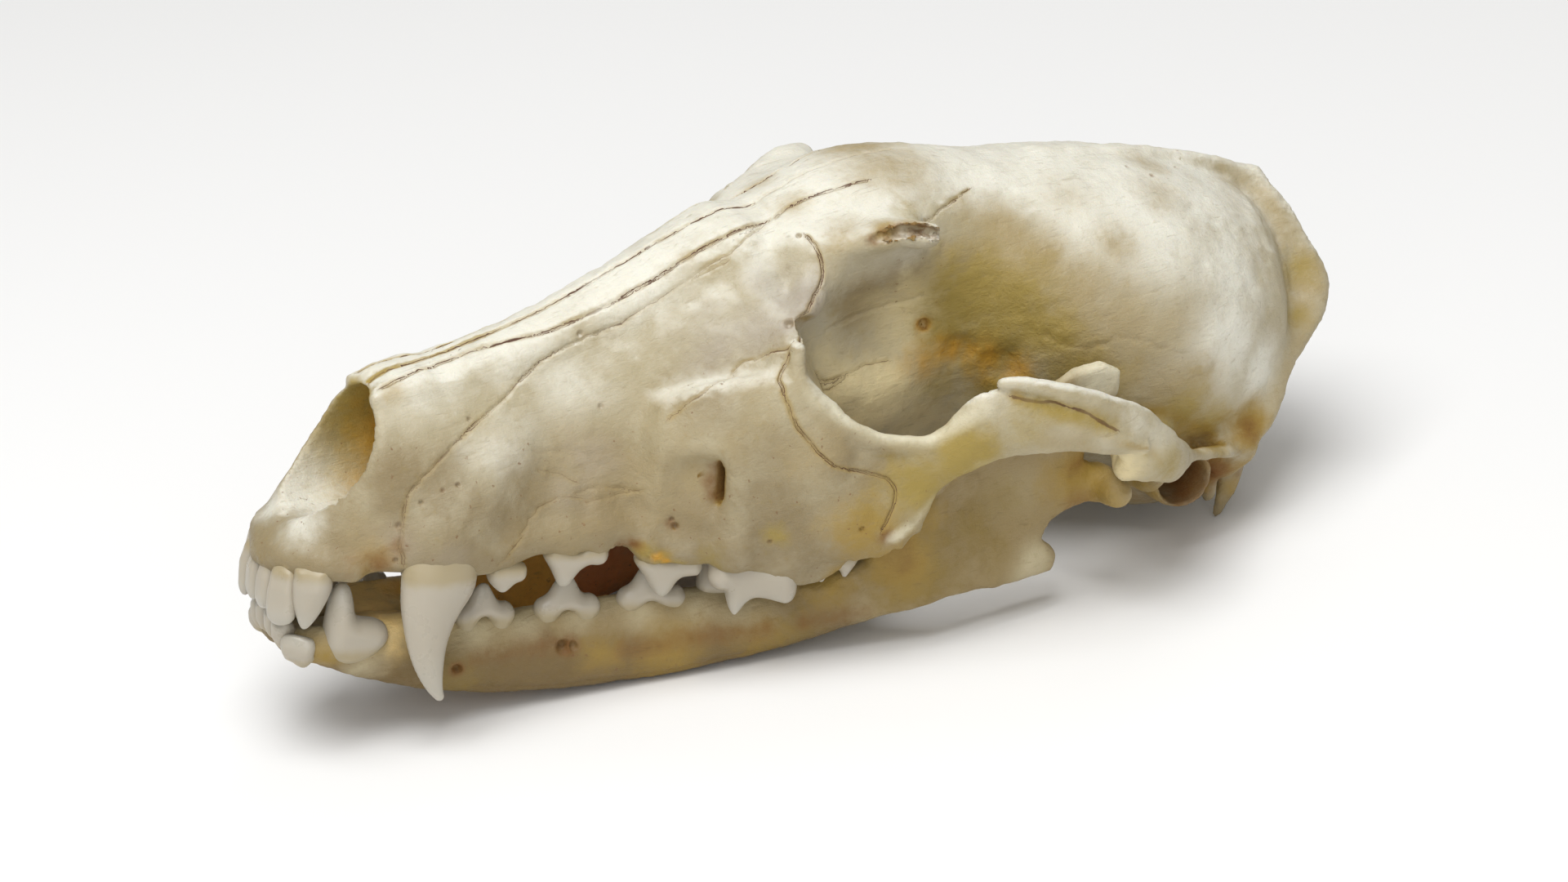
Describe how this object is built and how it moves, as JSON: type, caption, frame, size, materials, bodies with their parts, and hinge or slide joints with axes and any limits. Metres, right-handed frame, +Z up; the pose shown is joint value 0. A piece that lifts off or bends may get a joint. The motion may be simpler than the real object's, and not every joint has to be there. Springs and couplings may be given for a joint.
{
  "type": "dog skull",
  "caption": "Dry dog skull with a long narrow snout, open cheek arches, a domed braincase and the lower jaw with its teeth in place.",
  "frame": {"origin": "on the table, in the middle of the skull's box seen from above", "axes": "+Z up; -Y towards the snout; +X towards the animal's left"},
  "size_m": [0.0914, 0.1898, 0.0714],
  "materials": {
    "bone": "dry cream bone, slightly polished",
    "enamel": "off-white tooth enamel"
  },
  "bodies": {
    "root": {"cranium": "bone", "lower_canine_left": "enamel", "lower_canine_right": "enamel", "lower_incisor_1_left": "enamel", "lower_incisor_1_right": "enamel", "lower_incisor_2_left": "enamel", "lower_incisor_2_right": "enamel", "lower_incisor_3_left": "enamel", "lower_incisor_3_right": "enamel", "lower_molar_1_left": "enamel", "lower_molar_1_right": "enamel", "lower_molar_2_left": "enamel", "lower_molar_2_right": "enamel", "lower_molar_3_left": "enamel", "lower_molar_3_right": "enamel", "lower_premolar_1_left": "enamel", "lower_premolar_1_right": "enamel", "lower_premolar_2_left": "enamel", "lower_premolar_2_right": "enamel", "lower_premolar_3_left": "enamel", "lower_premolar_3_right": "enamel", "lower_premolar_4_left": "enamel", "lower_premolar_4_right": "enamel", "mandible_left": "bone", "mandible_right": "bone", "upper_canine_left": "enamel", "upper_canine_right": "enamel", "upper_incisor_1_left": "enamel", "upper_incisor_1_right": "enamel", "upper_incisor_2_left": "enamel", "upper_incisor_2_right": "enamel", "upper_incisor_3_left": "enamel", "upper_incisor_3_right": "enamel", "upper_molar_1_left": "enamel", "upper_molar_1_right": "enamel", "upper_molar_2_left": "enamel", "upper_molar_2_right": "enamel", "upper_premolar_1_left": "enamel", "upper_premolar_1_right": "enamel", "upper_premolar_2_left": "enamel", "upper_premolar_2_right": "enamel", "upper_premolar_3_left": "enamel", "upper_premolar_3_right": "enamel", "upper_premolar_4_left": "enamel", "upper_premolar_4_right": "enamel"}
  },
  "joints": []
}
